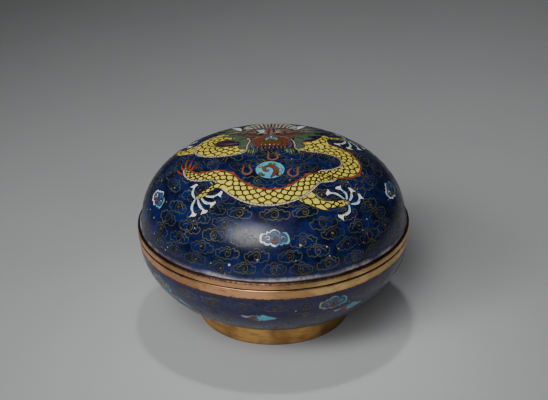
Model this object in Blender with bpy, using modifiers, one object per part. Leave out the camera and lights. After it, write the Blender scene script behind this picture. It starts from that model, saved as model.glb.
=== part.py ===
"""Round covered box: a domed lid and a low bowl of enamelled metal, on a metal foot ring.

Metres, +Z up. The origin is the centre of the foot ring's underside, where the box stands.
Every piece is turned, so each is one profile in the XZ plane with a Screw modifier about Z.
"""

import math

import bpy

# Rims, which meet at the seam
RIM_RADIUS = 0.0700
SEAM_GAP = 0.0004
RIM_EDGE_ROUND = 0.0007
LID_BAND_HEIGHT = 0.0040
LID_BAND_TAPER = 0.0012
BOWL_BAND_HEIGHT = 0.0042
BOWL_BAND_TAPER = 0.0007

# Lid: the enamel starts on a narrow ledge above its band and rises as a full, flat-topped dome
LEDGE_WIDTH = 0.0009
LEDGE_RISE = 0.0006
DOME_RISE = 0.0401
DOME_SIDE_FULLNESS = 2.35
DOME_TOP_FULLNESS = 2.14
LID_WALL = 0.0030
LID_SOCKET_WALL = 0.0055

# Lip of the bowl, which stands up inside the lid
LIP_HEIGHT = 0.0050
LIP_WALL = 0.0018
LIP_CLEARANCE = 0.0004
LIP_EDGE_ROUND = 0.0004

# Bowl: its round side is cut off by a flat base inside the foot ring
BOWL_DEPTH_TO_AXIS = 0.0420
BOWL_SIDE_FULLNESS = 2.31
BOWL_BASE_FULLNESS = 1.87
BOWL_WALL = 0.0030

# Foot ring
FOOT_HEIGHT = 0.0097
FOOT_RADIUS = 0.0394
FOOT_WALL = 0.0032
FOOT_TAPER = 0.0004
FOOT_EDGE_ROUND = 0.0005
SOLDER_GAP = 0.0003

# Facets
STEPS_AROUND = 64
DOME_POINTS = 13
BOWL_POINTS = 10
ROUND_POINTS = 3
MERGE_DISTANCE = 0.00001


def quarter_curve(radius, height, side_fullness, end_fullness, start, end, count):
    """Points of a superellipse quarter, from (radius, 0) towards (0, height), between two angles."""
    points = []
    for i in range(count):
        angle = start + (end - start) * i / (count - 1)
        x = radius * max(math.cos(angle), 0.0) ** (2 / side_fullness)
        z = height * max(math.sin(angle), 0.0) ** (2 / end_fullness)
        points.append((x, z))
    return points


def height_at(x, radius, height, side_fullness, end_fullness):
    """Height of that superellipse above its widest level, at distance x from the axis."""
    return height * (1 - (x / radius) ** side_fullness) ** (1 / end_fullness)


def radius_at(z, radius, height, side_fullness, end_fullness):
    """Distance of that superellipse from the axis, at height z above its widest level."""
    return radius * (1 - (z / height) ** end_fullness) ** (1 / side_fullness)


def angle_at(x, radius, side_fullness):
    """The curve angle at which quarter_curve is at distance x from the axis."""
    return math.acos((x / radius) ** (side_fullness / 2))


def edge_round(corner, towards_start, towards_end, size):
    """A convex rounded corner: an arc between two points that lie size away from the corner."""
    ax, az = corner[0] + towards_start[0] * size, corner[1] + towards_start[1] * size
    bx, bz = corner[0] + towards_end[0] * size, corner[1] + towards_end[1] * size
    points = []
    for i in range(ROUND_POINTS):
        t = i / (ROUND_POINTS - 1)
        x = (1 - t) ** 2 * ax + 2 * t * (1 - t) * corner[0] + t**2 * bx
        z = (1 - t) ** 2 * az + 2 * t * (1 - t) * corner[1] + t**2 * bz
        points.append((x, z))
    return points


UP, DOWN, IN, OUT = (0, 1), (0, -1), (-1, 0), (1, 0)

# Bowl curve: its widest level is the lower edge of the bowl's band
bowl_radius = RIM_RADIUS - BOWL_BAND_TAPER
foot_drop = height_at(
    FOOT_RADIUS, bowl_radius, BOWL_DEPTH_TO_AXIS, BOWL_SIDE_FULLNESS, BOWL_BASE_FULLNESS
)
bowl_top_z = FOOT_HEIGHT + foot_drop
seam_z = bowl_top_z + BOWL_BAND_HEIGHT
base_radius = FOOT_RADIUS - FOOT_WALL
base_drop = height_at(
    base_radius, bowl_radius, BOWL_DEPTH_TO_AXIS, BOWL_SIDE_FULLNESS, BOWL_BASE_FULLNESS
)
base_z = bowl_top_z - base_drop

# Dome curve: its widest level is the top of the lid's ledge
dome_radius = RIM_RADIUS - LID_BAND_TAPER - LEDGE_WIDTH
dome_z = seam_z + LID_BAND_HEIGHT + LEDGE_RISE
lid_bottom_z = seam_z + SEAM_GAP / 2
bowl_rim_z = seam_z - SEAM_GAP / 2

# Lid socket and the lip that stands in it
socket_radius = RIM_RADIUS - LID_SOCKET_WALL
lip_radius = socket_radius - LIP_CLEARANCE
lip_inner_radius = lip_radius - LIP_WALL
lip_top_z = seam_z + LIP_HEIGHT
socket_top_z = lip_top_z + LIP_CLEARANCE


def lid_profile():
    """From the top of the dome down the outside, under the rim, and up the inside.

    The socket that takes the lip runs up to the inner curve, or to a shelf above the lip where a
    thick wall makes that curve the narrower one.
    """
    outside = quarter_curve(
        dome_radius, DOME_RISE, DOME_SIDE_FULLNESS, DOME_TOP_FULLNESS, math.pi / 2, 0, DOME_POINTS
    )
    points = [(x, dome_z + z) for x, z in outside]
    points.append((RIM_RADIUS - LID_BAND_TAPER, dome_z - LEDGE_RISE))
    points += edge_round((RIM_RADIUS, lid_bottom_z), UP, IN, RIM_EDGE_ROUND)
    points.append((socket_radius, lid_bottom_z))
    inner_curve = (dome_radius - LID_WALL, DOME_RISE - LID_WALL, DOME_SIDE_FULLNESS, DOME_TOP_FULLNESS)
    shelf_radius = radius_at(socket_top_z - dome_z, *inner_curve)
    if shelf_radius < socket_radius:
        points.append((socket_radius, socket_top_z))
    start = angle_at(min(shelf_radius, socket_radius), dome_radius - LID_WALL, DOME_SIDE_FULLNESS)
    inside = quarter_curve(*inner_curve, start, math.pi / 2, DOME_POINTS)
    points += [(x, dome_z + z) for x, z in inside]
    return points


def bowl_profile():
    """From the middle of the floor, up the inside and the lip, over the rim and down the outside."""
    inner_radius = bowl_radius - BOWL_WALL
    inner_depth = BOWL_DEPTH_TO_AXIS - BOWL_WALL
    floor_drop = base_drop - BOWL_WALL
    floor_radius = inner_radius * (1 - (floor_drop / inner_depth) ** BOWL_BASE_FULLNESS) ** (
        1 / BOWL_SIDE_FULLNESS
    )
    inside = quarter_curve(
        inner_radius,
        inner_depth,
        BOWL_SIDE_FULLNESS,
        BOWL_BASE_FULLNESS,
        angle_at(floor_radius, inner_radius, BOWL_SIDE_FULLNESS),
        0,
        BOWL_POINTS,
    )
    lip_foot_z = bowl_top_z - (inner_radius - lip_inner_radius)
    points = [(0, base_z + BOWL_WALL)]
    points += [(x, bowl_top_z - z) for x, z in inside if bowl_top_z - z < lip_foot_z]
    points.append((inner_radius, lip_foot_z))
    points.append((lip_inner_radius, bowl_top_z))
    points += edge_round((lip_inner_radius, lip_top_z), DOWN, OUT, LIP_EDGE_ROUND)
    points += edge_round((lip_radius, lip_top_z), IN, DOWN, LIP_EDGE_ROUND)
    points.append((lip_radius, bowl_rim_z))
    points += edge_round((RIM_RADIUS, bowl_rim_z), IN, DOWN, RIM_EDGE_ROUND)
    outside = quarter_curve(
        bowl_radius,
        BOWL_DEPTH_TO_AXIS,
        BOWL_SIDE_FULLNESS,
        BOWL_BASE_FULLNESS,
        0,
        angle_at(base_radius, bowl_radius, BOWL_SIDE_FULLNESS),
        BOWL_POINTS,
    )
    points += [(x, bowl_top_z - z) for x, z in outside]
    points.append((0, base_z))
    return points


def foot_profile():
    """Closed section of the ring. Its top follows the bowl's side, which it is soldered to."""
    top_radius = FOOT_RADIUS - FOOT_TAPER
    inner_radius = FOOT_RADIUS - FOOT_WALL
    curve = (bowl_radius, BOWL_DEPTH_TO_AXIS, BOWL_SIDE_FULLNESS, BOWL_BASE_FULLNESS)
    outer_top_z = bowl_top_z - height_at(top_radius, *curve) - SOLDER_GAP
    inner_top_z = bowl_top_z - height_at(inner_radius, *curve) - SOLDER_GAP
    points = [(top_radius, outer_top_z)]
    points += edge_round((FOOT_RADIUS, 0), UP, IN, FOOT_EDGE_ROUND)
    points += edge_round((inner_radius, 0), OUT, UP, FOOT_EDGE_ROUND)
    points.append((inner_radius, inner_top_z))
    return points


def material(name, colour, roughness, metallic):
    made = bpy.data.materials.new(name)
    made.use_nodes = True
    shader = made.node_tree.nodes["Principled BSDF"]
    shader.inputs["Base Color"].default_value = (*colour, 1)
    shader.inputs["Roughness"].default_value = roughness
    shader.inputs["Metallic"].default_value = metallic
    made.diffuse_color = (*colour, 1)
    return made


def turned(name, profile, closed, finish, collection):
    """Turns the profile, a list of (distance from the axis, height), once round Z."""
    mesh = bpy.data.meshes.new(name)
    edges = [(i, i + 1) for i in range(len(profile) - 1)]
    if closed:
        edges.append((len(profile) - 1, 0))
    mesh.from_pydata([(x, 0, z) for x, z in profile], edges, [])
    mesh.materials.append(finish)
    made = bpy.data.objects.new(name, mesh)
    collection.objects.link(made)
    screw = made.modifiers.new("Turn", "SCREW")
    screw.axis = "Z"
    screw.angle = math.tau
    screw.steps = STEPS_AROUND
    screw.render_steps = STEPS_AROUND
    screw.use_merge_vertices = True
    screw.merge_threshold = MERGE_DISTANCE
    screw.use_smooth_shade = True
    return made


def build():
    for old in list(bpy.data.objects):
        bpy.data.objects.remove(old)
    collection = bpy.data.collections.new("covered_box")
    bpy.context.scene.collection.children.link(collection)
    enamel = material("blue_enamel", (0.012, 0.025, 0.130), 0.30, 0.0)
    foot_metal = material("foot_metal", (0.300, 0.175, 0.060), 0.42, 1.0)
    turned("lid", lid_profile(), False, enamel, collection)
    turned("bowl", bowl_profile(), False, enamel, collection)
    turned("foot_ring", foot_profile(), True, foot_metal, collection)


build()
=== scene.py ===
import bisect
import math
import random

import bmesh
import bpy
from mathutils import Matrix, Vector
from mathutils.bvhtree import BVHTree


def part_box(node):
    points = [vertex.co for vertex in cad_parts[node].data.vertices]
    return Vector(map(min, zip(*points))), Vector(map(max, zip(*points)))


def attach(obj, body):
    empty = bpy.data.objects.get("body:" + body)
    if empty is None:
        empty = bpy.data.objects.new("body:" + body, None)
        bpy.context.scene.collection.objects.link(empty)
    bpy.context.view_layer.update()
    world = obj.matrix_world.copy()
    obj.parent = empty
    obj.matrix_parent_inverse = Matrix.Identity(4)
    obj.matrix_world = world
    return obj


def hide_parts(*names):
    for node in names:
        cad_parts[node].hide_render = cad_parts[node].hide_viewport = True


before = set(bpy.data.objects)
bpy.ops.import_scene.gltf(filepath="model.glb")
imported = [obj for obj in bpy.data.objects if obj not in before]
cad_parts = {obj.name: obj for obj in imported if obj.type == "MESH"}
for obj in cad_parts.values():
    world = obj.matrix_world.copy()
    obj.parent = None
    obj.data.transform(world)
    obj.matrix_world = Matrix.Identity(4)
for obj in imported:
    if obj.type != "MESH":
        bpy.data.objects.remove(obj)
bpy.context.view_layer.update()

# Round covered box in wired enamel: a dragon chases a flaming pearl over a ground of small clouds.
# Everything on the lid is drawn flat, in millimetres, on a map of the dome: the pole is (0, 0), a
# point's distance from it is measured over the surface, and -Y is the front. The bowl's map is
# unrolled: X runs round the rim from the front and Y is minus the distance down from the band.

MM = 0.001

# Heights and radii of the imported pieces, in millimetres
lid_low, lid_high = (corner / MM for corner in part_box("lid"))
bowl_low, bowl_high = (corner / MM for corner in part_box("bowl"))
foot_low, foot_high = (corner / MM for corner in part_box("foot_ring"))
RIM_RADIUS = lid_high.x
FOOT_RADIUS = foot_high.x

# Rims, as the solids have them
SEAM_GAP = 0.4
RIM_EDGE_ROUND = 0.7
SEAM_EDGE_ROUND = 0.35
LID_BAND_HEIGHT = 4.0
LID_BAND_TAPER = 1.2
BOWL_BAND_HEIGHT = 4.2
BOWL_BAND_TAPER = 0.7
LEDGE_WIDTH = 0.9
LEDGE_RISE = 0.6
LID_WALL = 3.0
SOCKET_WALL = 5.5
LIP_WALL = 1.8
LIP_CLEARANCE = 0.4
LIP_EDGE_ROUND = 0.4
BOWL_WALL = 3.0
BOWL_DEPTH_TO_AXIS = 42.0
FOOT_WALL = 3.2
FOOT_TAPER = 0.4
FOOT_EDGE_ROUND = 0.5
DOME_FULLNESS = (2.35, 2.14)
BOWL_FULLNESS = (2.31, 1.87)

# Enamel on the metal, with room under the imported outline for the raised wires
ENAMEL_DEPTH = 1.4
BOND_GAP = 0.02
WIRE_ROOM = 0.24
FLARE_HEIGHT = 3.6
COLLAR = 1.2

# Thickness of the drawing: coloured enamel lies almost flush, one colour over another in levels
AREA_LIFT = 0.03
LEVEL_STEP = 0.012
AREA_DEPTH = 0.30
WIRE_CREST = 0.04
AREA_GRID = 2.0
NO_GRID = 1000.0
LEVEL_SPACING = 10.0

# Facets
STEPS_AROUND = 256
PROFILE_STEPS = 56

seam_z = lid_low.z - SEAM_GAP / 2
dome_z = seam_z + LID_BAND_HEIGHT + LEDGE_RISE
dome_radius = RIM_RADIUS - LID_BAND_TAPER - LEDGE_WIDTH
bowl_top_z = seam_z - BOWL_BAND_HEIGHT
bowl_radius = RIM_RADIUS - BOWL_BAND_TAPER


def superellipse(radius, height, fullness, count=240):
    """Quarter outline from its widest level, (radius, 0), to the axis, (0, height)."""
    points = []
    for i in range(count + 1):
        angle = math.pi / 2 * i / count
        x = radius * max(math.cos(angle), 0.0) ** (2 / fullness[0])
        z = height * max(math.sin(angle), 0.0) ** (2 / fullness[1])
        points.append((x, z))
    return points


def bend(start, corner, end, count):
    """A round corner: points of the parabola from start to end that heads for the corner."""
    points = []
    for i in range(count + 1):
        t = i / count
        points.append(tuple(
            (1 - t) ** 2 * a + 2 * t * (1 - t) * b + t * t * c for a, b, c in zip(start, corner, end)
        ))
    return points


class Turned:
    """A surface turned about Z, known by its profile, that flat drawings are laid on."""

    def __init__(self, profile):
        self.profile = profile
        self.lengths = [0.0]
        for (x0, z0), (x1, z1) in zip(profile, profile[1:]):
            self.lengths.append(self.lengths[-1] + math.hypot(x1 - x0, z1 - z0))
        self.total = self.lengths[-1]

    def at(self, length, lift=0.0):
        """Radius and height at that distance along the profile, moved out by lift."""
        i = min(max(bisect.bisect_right(self.lengths, length) - 1, 0), len(self.lengths) - 2)
        span = self.lengths[i + 1] - self.lengths[i] or 1.0
        t = (length - self.lengths[i]) / span
        (x0, z0), (x1, z1) = self.profile[i], self.profile[i + 1]
        before = self.profile[max(i - 3, 0)]
        after = self.profile[min(i + 4, len(self.profile) - 1)]
        along = Vector((after[0] - before[0], after[1] - before[1])).normalized()
        if i < 3 and x0 < 1e-6 or i > len(self.lengths) - 6 and x1 < 1e-6:
            along = Vector((math.copysign(1.0, along.x), 0.0))
        return x0 + (x1 - x0) * t - along.y * lift, z0 + (z1 - z0) * t + along.x * lift

    def points(self, start, end, count, lift=0.0):
        return [self.at(start + (end - start) * i / count, lift) for i in range(count + 1)]


dome = Turned([
    (x, dome_z + z)
    for x, z in reversed(superellipse(dome_radius, lid_high.z - WIRE_ROOM - dome_z, DOME_FULLNESS))
])
bowl_side = Turned([
    (x, bowl_top_z - z) for x, z in superellipse(bowl_radius, BOWL_DEPTH_TO_AXIS, BOWL_FULLNESS)
])


def on_dome(point):
    """Places a point of the dome's map, lifted by its third number."""
    distance = math.hypot(point.x, point.y)
    radius, height = dome.at(distance, point.z)
    share = radius / distance if distance > 1e-9 else 0.0
    return Vector((point.x * share, point.y * share, height)) * MM


def on_bowl(point):
    """Places a point of the bowl's unrolled map, lifted by its third number."""
    radius, height = bowl_side.at(-point.y, point.z)
    angle = point.x / RIM_RADIUS - math.pi / 2
    return Vector((radius * math.cos(angle), radius * math.sin(angle), height)) * MM


def curve_through(points, step=1.0, closed=False):
    """A smooth line through the points, which may carry a width as a third number."""
    count = len(points)
    spans = count if closed else count - 1
    path = []
    for i in range(spans):
        if closed:
            p0, p1, p2, p3 = (points[(i + k) % count] for k in (-1, 0, 1, 2))
        else:
            p0, p1, p2, p3 = (points[min(max(i + k, 0), count - 1)] for k in (-1, 0, 1, 2))
        pieces = max(2, round(math.hypot(p2[0] - p1[0], p2[1] - p1[1]) / step))
        for j in range(pieces):
            t = j / pieces
            path.append(tuple(
                b + 0.5 * t * (c - a + t * (2 * a - 5 * b + 4 * c - d + t * (3 * b - a - 3 * c + d)))
                for a, b, c, d in zip(p0, p1, p2, p3)
            ))
    if not closed:
        path.append(tuple(points[-1]))
    return path


class Strip:
    """A line with a width at each of its points, such as a body, a leg or a flame."""

    def __init__(self, points, step=0.9):
        self.stations = curve_through(points, step)
        self.sides = []
        self.lengths = [0.0]
        last = len(self.stations) - 1
        for i, station in enumerate(self.stations):
            before, after = self.stations[max(i - 1, 0)], self.stations[min(i + 1, last)]
            along = Vector((after[0] - before[0], after[1] - before[1])).normalized()
            self.sides.append((-along.y, along.x))
            if i:
                previous = self.stations[i - 1]
                gap = math.hypot(station[0] - previous[0], station[1] - previous[1])
                self.lengths.append(self.lengths[-1] + gap)

    def beside(self, i, offset):
        """The point at station i that lies offset to the left of the line."""
        return (
            self.stations[i][0] + self.sides[i][0] * offset,
            self.stations[i][1] + self.sides[i][1] * offset,
        )

    def edge(self, side, beyond=None):
        """The left (1) or right (-1) edge, moved out by beyond(distance along), if that is given."""
        line = []
        for i, station in enumerate(self.stations):
            extra = beyond(self.lengths[i]) if beyond else 0.0
            line.append(self.beside(i, side * (station[2] / 2 + extra)))
        return line

    def band(self):
        return [self.edge(1), self.edge(-1)]

    def at(self, length, offset):
        i = min(max(bisect.bisect_right(self.lengths, length) - 1, 0), len(self.lengths) - 2)
        t = (length - self.lengths[i]) / (self.lengths[i + 1] - self.lengths[i])
        a, b = self.beside(i, offset), self.beside(i + 1, offset)
        return a[0] + (b[0] - a[0]) * t, a[1] + (b[1] - a[1]) * t

    def width(self, length):
        i = min(max(bisect.bisect_right(self.lengths, length) - 1, 0), len(self.lengths) - 1)
        return self.stations[i][2]


class Drawing:
    """Coloured areas and wires on the flat map of one surface."""

    def __init__(self, name, place):
        self.name = name
        self.place = place
        self.areas = []
        self.wires = []

    def area(self, colour, outline, level=1, wire=True):
        self.band(colour, [outline], level, wire)

    def band(self, colour, lines, level=1, wire=True):
        """One closed outline, or two lines with an area between them."""
        self.areas.append((colour, lines, level))
        if wire:
            ring = lines[0] + (lines[1][::-1] if len(lines) > 1 else [])
            self.wires.append(("figure", ring, True, level))

    def wire(self, path, level=1, kind="figure", closed=False):
        self.wires.append((kind, path, closed, level))

    def stroke(self, colour, points, level=1, wire=True):
        self.band(colour, Strip(points, 0.8).band(), level, wire)

    def disc(self, colour, centre, radius, level=1, tall=1.0, wire=True):
        count = max(8, round(radius * 9))
        turns = [math.tau * i / count for i in range(count)]
        outline = [
            (centre[0] + radius * math.cos(a), centre[1] + radius * tall * math.sin(a)) for a in turns
        ]
        self.area(colour, outline, level, wire)


def flat_areas(shapes, grid):
    """Flat faces for the drawn shapes, cut by a square grid so that they can be bent."""
    bm = bmesh.new()
    for lines in shapes:
        rows = [[bm.verts.new((x, y, 0)) for x, y in line] for line in lines]
        if len(rows) == 1:
            bm.faces.new(rows[0])
        else:
            edges = [bm.edges.new(pair) for row in rows for pair in zip(row, row[1:])]
            bmesh.ops.bridge_loops(bm, edges=edges)
    bmesh.ops.triangulate(bm, faces=bm.faces[:])
    for axis in (0, 1):
        low = min(v.co[axis] for v in bm.verts)
        high = max(v.co[axis] for v in bm.verts)
        normal = Vector((1 - axis, axis, 0))
        for i in range(math.ceil(low / grid), math.floor(high / grid) + 1):
            everything = bm.verts[:] + bm.edges[:] + bm.faces[:]
            bmesh.ops.bisect_plane(
                bm, geom=everything, dist=1e-5, plane_co=normal * (i * grid), plane_no=normal
            )
    bm.normal_update()
    bmesh.ops.reverse_faces(bm, faces=[f for f in bm.faces if f.normal.z < 0])
    return bm


def finish_mesh(bm, name, material, replaced=None, sharp=40):
    """Makes the bmesh a piece of the box that takes the material and rides with it."""
    mesh = bpy.data.meshes.new(name)
    bm.to_mesh(mesh)
    bm.free()
    mesh.shade_smooth()
    mesh.set_sharp_from_angle(angle=math.radians(sharp))
    mesh.materials.append(material)
    piece = bpy.data.objects.new(name, mesh)
    bpy.context.scene.collection.objects.link(piece)
    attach(piece, "root")
    if replaced:
        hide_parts(replaced)
    return piece


def area_piece(drawing, colour, material):
    """One colour of a drawing, as thin closed slabs let into the surface."""
    joined = bmesh.new()
    levels = sorted({level for c, _, level in drawing.areas if c == colour})
    for level in levels:
        shapes = [lines for c, lines, height in drawing.areas if c == colour and height == level]
        bm = flat_areas(shapes, AREA_GRID)
        top = bmesh.ops.extrude_face_region(bm, geom=bm.faces[:])["geom"]
        raised = [v for v in top if isinstance(v, bmesh.types.BMVert)]
        lowered = set(bm.verts) - set(raised)
        for v in lowered:
            v.co.z = -AREA_DEPTH
        for v in raised:
            v.co.z = AREA_LIFT + LEVEL_STEP * level
        bmesh.ops.recalc_face_normals(bm, faces=bm.faces[:])
        part = bpy.data.meshes.new("part")
        bm.to_mesh(part)
        joined.from_mesh(part)
        bpy.data.meshes.remove(part)
        bm.free()
    for v in joined.verts:
        v.co = drawing.place(v.co)
    return finish_mesh(joined, f"{drawing.name}_{colour}", material)


def covers(drawing):
    """For each level, what is drawn above it, to hide the wires that run under it."""
    found = {}
    top = max(level for _, _, level in drawing.areas)
    for level in range(top):
        bm = flat_areas([lines for _, lines, height in drawing.areas if height > level], NO_GRID)
        found[level] = BVHTree.FromBMesh(bm)
        bm.free()
    return found


def shown_runs(path, closed, cover):
    """The stretches of a wire that no later area covers."""
    if cover is None:
        return [(path, closed)]
    down = Vector((0, 0, -1))
    clear = [cover.ray_cast(Vector((x, y, 1)), down)[0] is None for x, y in path]
    if all(clear):
        return [(path, closed)]
    if not any(clear):
        return []
    if closed:
        start = clear.index(False)
        path = path[start:] + path[:start]
        clear = clear[start:] + clear[:start]
    runs, run = [], []
    for point, seen in zip(path, clear):
        if seen:
            run.append(point)
        elif run:
            runs.append(run)
            run = []
    if run:
        runs.append(run)
    return [(r, False) for r in runs if len(r) > 1]


def wire_piece(drawing, kind, half_width, material, name):
    """The wires of one kind: flat-topped strips of metal that stand in the surface."""
    hidden_by = covers(drawing)
    curve = bpy.data.curves.new(name, "CURVE")
    curve.dimensions = "3D"
    curve.twist_mode = "Z_UP"
    curve.bevel_depth = half_width
    curve.bevel_resolution = 0
    curve.use_fill_caps = True
    for wire_kind, path, closed, level in drawing.wires:
        if wire_kind != kind:
            continue
        for run, ring in shown_runs(path, closed, hidden_by.get(level)):
            spline = curve.splines.new("POLY")
            spline.points.add(len(run) - 1)
            for point, (x, y) in zip(spline.points, run):
                point.co = (x, y, LEVEL_SPACING * level, 1)
            spline.use_cyclic_u = ring
    holder = bpy.data.objects.new(name, curve)
    bpy.context.scene.collection.objects.link(holder)
    bpy.context.view_layer.update()
    mesh = bpy.data.meshes.new_from_object(holder.evaluated_get(bpy.context.evaluated_depsgraph_get()))
    bpy.data.objects.remove(holder)
    bm = bmesh.new()
    bm.from_mesh(mesh)
    bpy.data.meshes.remove(mesh)
    bmesh.ops.remove_doubles(bm, verts=bm.verts[:], dist=0.0005)
    for v in bm.verts:
        level = round(v.co.z / LEVEL_SPACING)
        side = (v.co.z - LEVEL_SPACING * level) / half_width
        base = AREA_LIFT + LEVEL_STEP * level if level else 0.0
        v.co.z = base + WIRE_CREST * side if side > -0.5 else -AREA_DEPTH
        v.co = drawing.place(v.co)
    bmesh.ops.recalc_face_normals(bm, faces=bm.faces[:])
    return finish_mesh(bm, name, material, sharp=60)


# Cloud shapes

def arc_line(corners):
    """A ring of arcs: each corner is (x, y, bulge to the left of the way to the next corner)."""
    line = []
    for i, (x0, y0, bulge) in enumerate(corners):
        x1, y1, _ = corners[(i + 1) % len(corners)]
        length = math.hypot(x1 - x0, y1 - y0)
        nx, ny = -(y1 - y0) / length, (x1 - x0) / length
        pieces = max(3, round((length + abs(bulge)) / 0.9))
        for j in range(pieces):
            t = j / pieces
            push = 4 * bulge * t * (1 - t)
            if bulge > 1:
                push = bulge * math.sin(math.pi * t) ** 0.7
            line.append((x0 + (x1 - x0) * t + nx * push, y0 + (y1 - y0) * t + ny * push))
    return line


def spiral(centre, radius, inner, start, turns, count=20):
    """A curl that runs from radius in to inner over that many turns."""
    line = []
    for i in range(count + 1):
        t = i / count
        r = radius + (inner - radius) * t
        angle = start + math.tau * turns * t
        line.append((centre[0] + r * math.cos(angle), centre[1] + r * math.sin(angle)))
    return line


def placed(line, x, y, angle, size=1.0, flip=1):
    """The line scaled, mirrored where flip is -1, turned, and moved to (x, y)."""
    c, s = math.cos(angle), math.sin(angle)
    return [
        (x + size * (flip * px * c - py * s), y + size * (flip * px * s + py * c)) for px, py in line
    ]


def placed_stroke(points, x, y, angle, step=0.7):
    """The two edges of a line of (x, y, width), turned and moved to their place."""
    return [placed(edge, x, y, angle) for edge in Strip(points, step).band()]


CLOUD_RING = [
    (-7.0, -0.8, 1.3), (-5.0, 1.2, 1.0), (-2.4, 2.2, 1.5), (2.3, 2.3, 1.1), (4.9, 1.3, 1.3), (7.0, -0.7, 1.0),
    (4.4, -2.5, 0.8), (0.9, -3.0, 0.7), (-2.6, -2.9, 0.7), (-5.2, -2.3, 0.7),
]


def ground_cloud(drawing, x, y, angle, size, flip, chance):
    """A small lobed cloud of wire with a curl in it, round a dark heart and a grain of brass."""
    ring = arc_line([
        (px * chance.uniform(0.97, 1.12), py * chance.uniform(0.75, 0.98), b * chance.uniform(0.8, 1.2))
        for px, py, b in CLOUD_RING
    ])
    ring = placed(ring, x, y, angle, size, flip)
    drawing.wire(ring, 0, "ground", True)
    if chance.random() < 0.7:
        heart = placed([(0.1, -0.2)], x, y, angle, size, flip)[0]
        drawing.disc("night", heart, chance.uniform(1.3, 2.2), 0, chance.uniform(0.7, 1.0), wire=False)
    turns = chance.uniform(1.3, 1.7)
    curl = [(-5.0, -0.8), (-4.2, 0.4)] + spiral((0.1, -0.3), 2.6, 0.7, 2.5, -turns, 22)
    drawing.wire(placed(curl, x, y, angle, size, flip), 0, "ground")
    for _ in range(chance.choice((0, 1, 1, 2))):
        grain = chance.uniform(-0.8, 1.0), chance.uniform(-0.9, 0.5)
        grain = placed([grain], x, y, angle, size, flip)[0]
        drawing.disc("brass", grain, chance.uniform(0.28, 0.55), 1, chance.uniform(0.6, 1.0), wire=False)


def coloured_cloud(drawing, x, y, angle, left_border="white", left_curl="white", heart_colour="heart"):
    """A lobed cloud: a white and turquoise border round a blue field with curls and a red heart."""
    outer = [(-8, -0.2, 1.6), (-4.6, 1.9, 1.0), (-2.9, 2.7, 1.7), (3.0, 2.2, 1.6), (7.6, 0.2, 1.9),
             (4.6, -3.0, 0.8), (2.2, -3.3, 1.3), (-2.6, -3.0, 1.0), (-6.2, -2.4, 0.9)]
    inner = [(-6.9, -0.3, 1.1), (-4.0, 1.3, 0.7), (-2.6, 2.0, 1.5), (2.4, 1.6, 1.2), (6.5, 0.1, 1.2),
             (4.0, -2.1, 0.6), (1.8, -2.5, 1.0), (-2.2, -2.2, 0.7), (-5.4, -1.6, 0.6)]
    border = arc_line(outer)
    left = [p for p in border if p[0] < 0.6]
    drawing.area("turquoise", placed(border, x, y, angle), 1)
    drawing.area(left_border, placed(left, x, y, angle), 2, wire=False)
    drawing.area("blue", placed(arc_line(inner), x, y, angle), 3)
    left_line = [(-5.6, 0.0, 0.4), (-4.2, 0.8, 0.8), (-2.8, 0.2, 0.8), (-3.2, -0.9, 0.8), (-4.6, -0.7, 0.4)]
    right_line = [(5.6, -0.4, 0.4), (4.4, 0.6, 0.7), (3.2, 0.0, 0.7), (3.8, -0.9, 0.5)]
    heart = [(-1.9, -1.4, 0.5), (-0.9, -2.0, 1.0), (0.5, -1.8, 1.2), (1.1, -0.7, 1.1), (0.2, 0.2, 0.9),
             (-0.7, -0.4, 0.4)]
    for colour, line, step in [(left_curl, left_line, 0.6), ("turquoise_pale", right_line, 0.6),
                               (heart_colour, heart, 0.5)]:
        drawing.band(colour, placed_stroke(line, x, y, angle, step), 4)


def comet_cloud(drawing, x, y, angle):
    """A flying cloud: a turquoise body that ends in a point, a red curl, a blue crest, a lilac tail."""
    body = [(-3.4, 2.5, 0.8), (-0.6, 1.4, 0.5), (0.4, 2.2, 0.9), (3.8, 1.9, 0.2), (9.6, -0.2, 0.3),
            (4.6, -2.0, 0.3), (0.6, -2.7, 0.4), (-1.4, -3.4, 0.3), (-3.0, -0.8, 0.4)]
    crest = [(-5.2, 1.4, 1.2), (-1.4, 1.6, 0.3), (-2.0, -0.4, 0.3)]
    tail = [(-9.8, 1.4, 0.6), (-8.2, 0.4, 2.2), (-6.0, 0.4, 1.6), (-4.4, 1.4, 1.0), (-2.6, 2.2, 0.4)]
    curl = [(-4.8, -0.6, 1.2), (-1.4, -0.7, 1.4), (-2.6, -3.0, 0.9)]
    curl_heart = [(-3.9, -1.0, 0.5), (-2.2, -1.0, 0.5)]
    spark = [(9.4, 0.4, 0.6), (11.0, 0.2, 0.6)]
    drawing.area("turquoise", placed(arc_line(body), x, y, angle), 1)
    drawing.area("cobalt", placed(arc_line(crest), x, y, angle), 2)
    drawing.band("lilac", placed_stroke(tail, x, y, angle), 2)
    drawing.area("heart", placed(arc_line(curl), x, y, angle), 3)
    drawing.area("maroon", placed(arc_line(curl_heart), x, y, angle), 4)
    drawing.area("brick", placed(arc_line(spark), x, y, angle), 1)


def streak_cloud(drawing, x, y, angle):
    """A streak of cloud: one thin turquoise wedge with a pale root."""
    wedge = [(-6.4, 3.6, 0.3), (-3.8, 1.2, 2.7), (0.8, -0.8, 2.2), (7.6, -2.2, 0.3)]
    root = [(-6.6, 3.8, 0.3), (-5.4, 2.0, 1.3), (-3.4, 0.6, 0.4)]
    drawing.band("turquoise", placed_stroke(wedge, x, y, angle), 1)
    drawing.band("lilac", placed_stroke(root, x, y, angle), 2)


# The dragon, in points (x, y, width): the neck's loop, the body from the head to its twist, and
# from the twist to the tail. Widths leave out the fin and the belly line.

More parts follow.
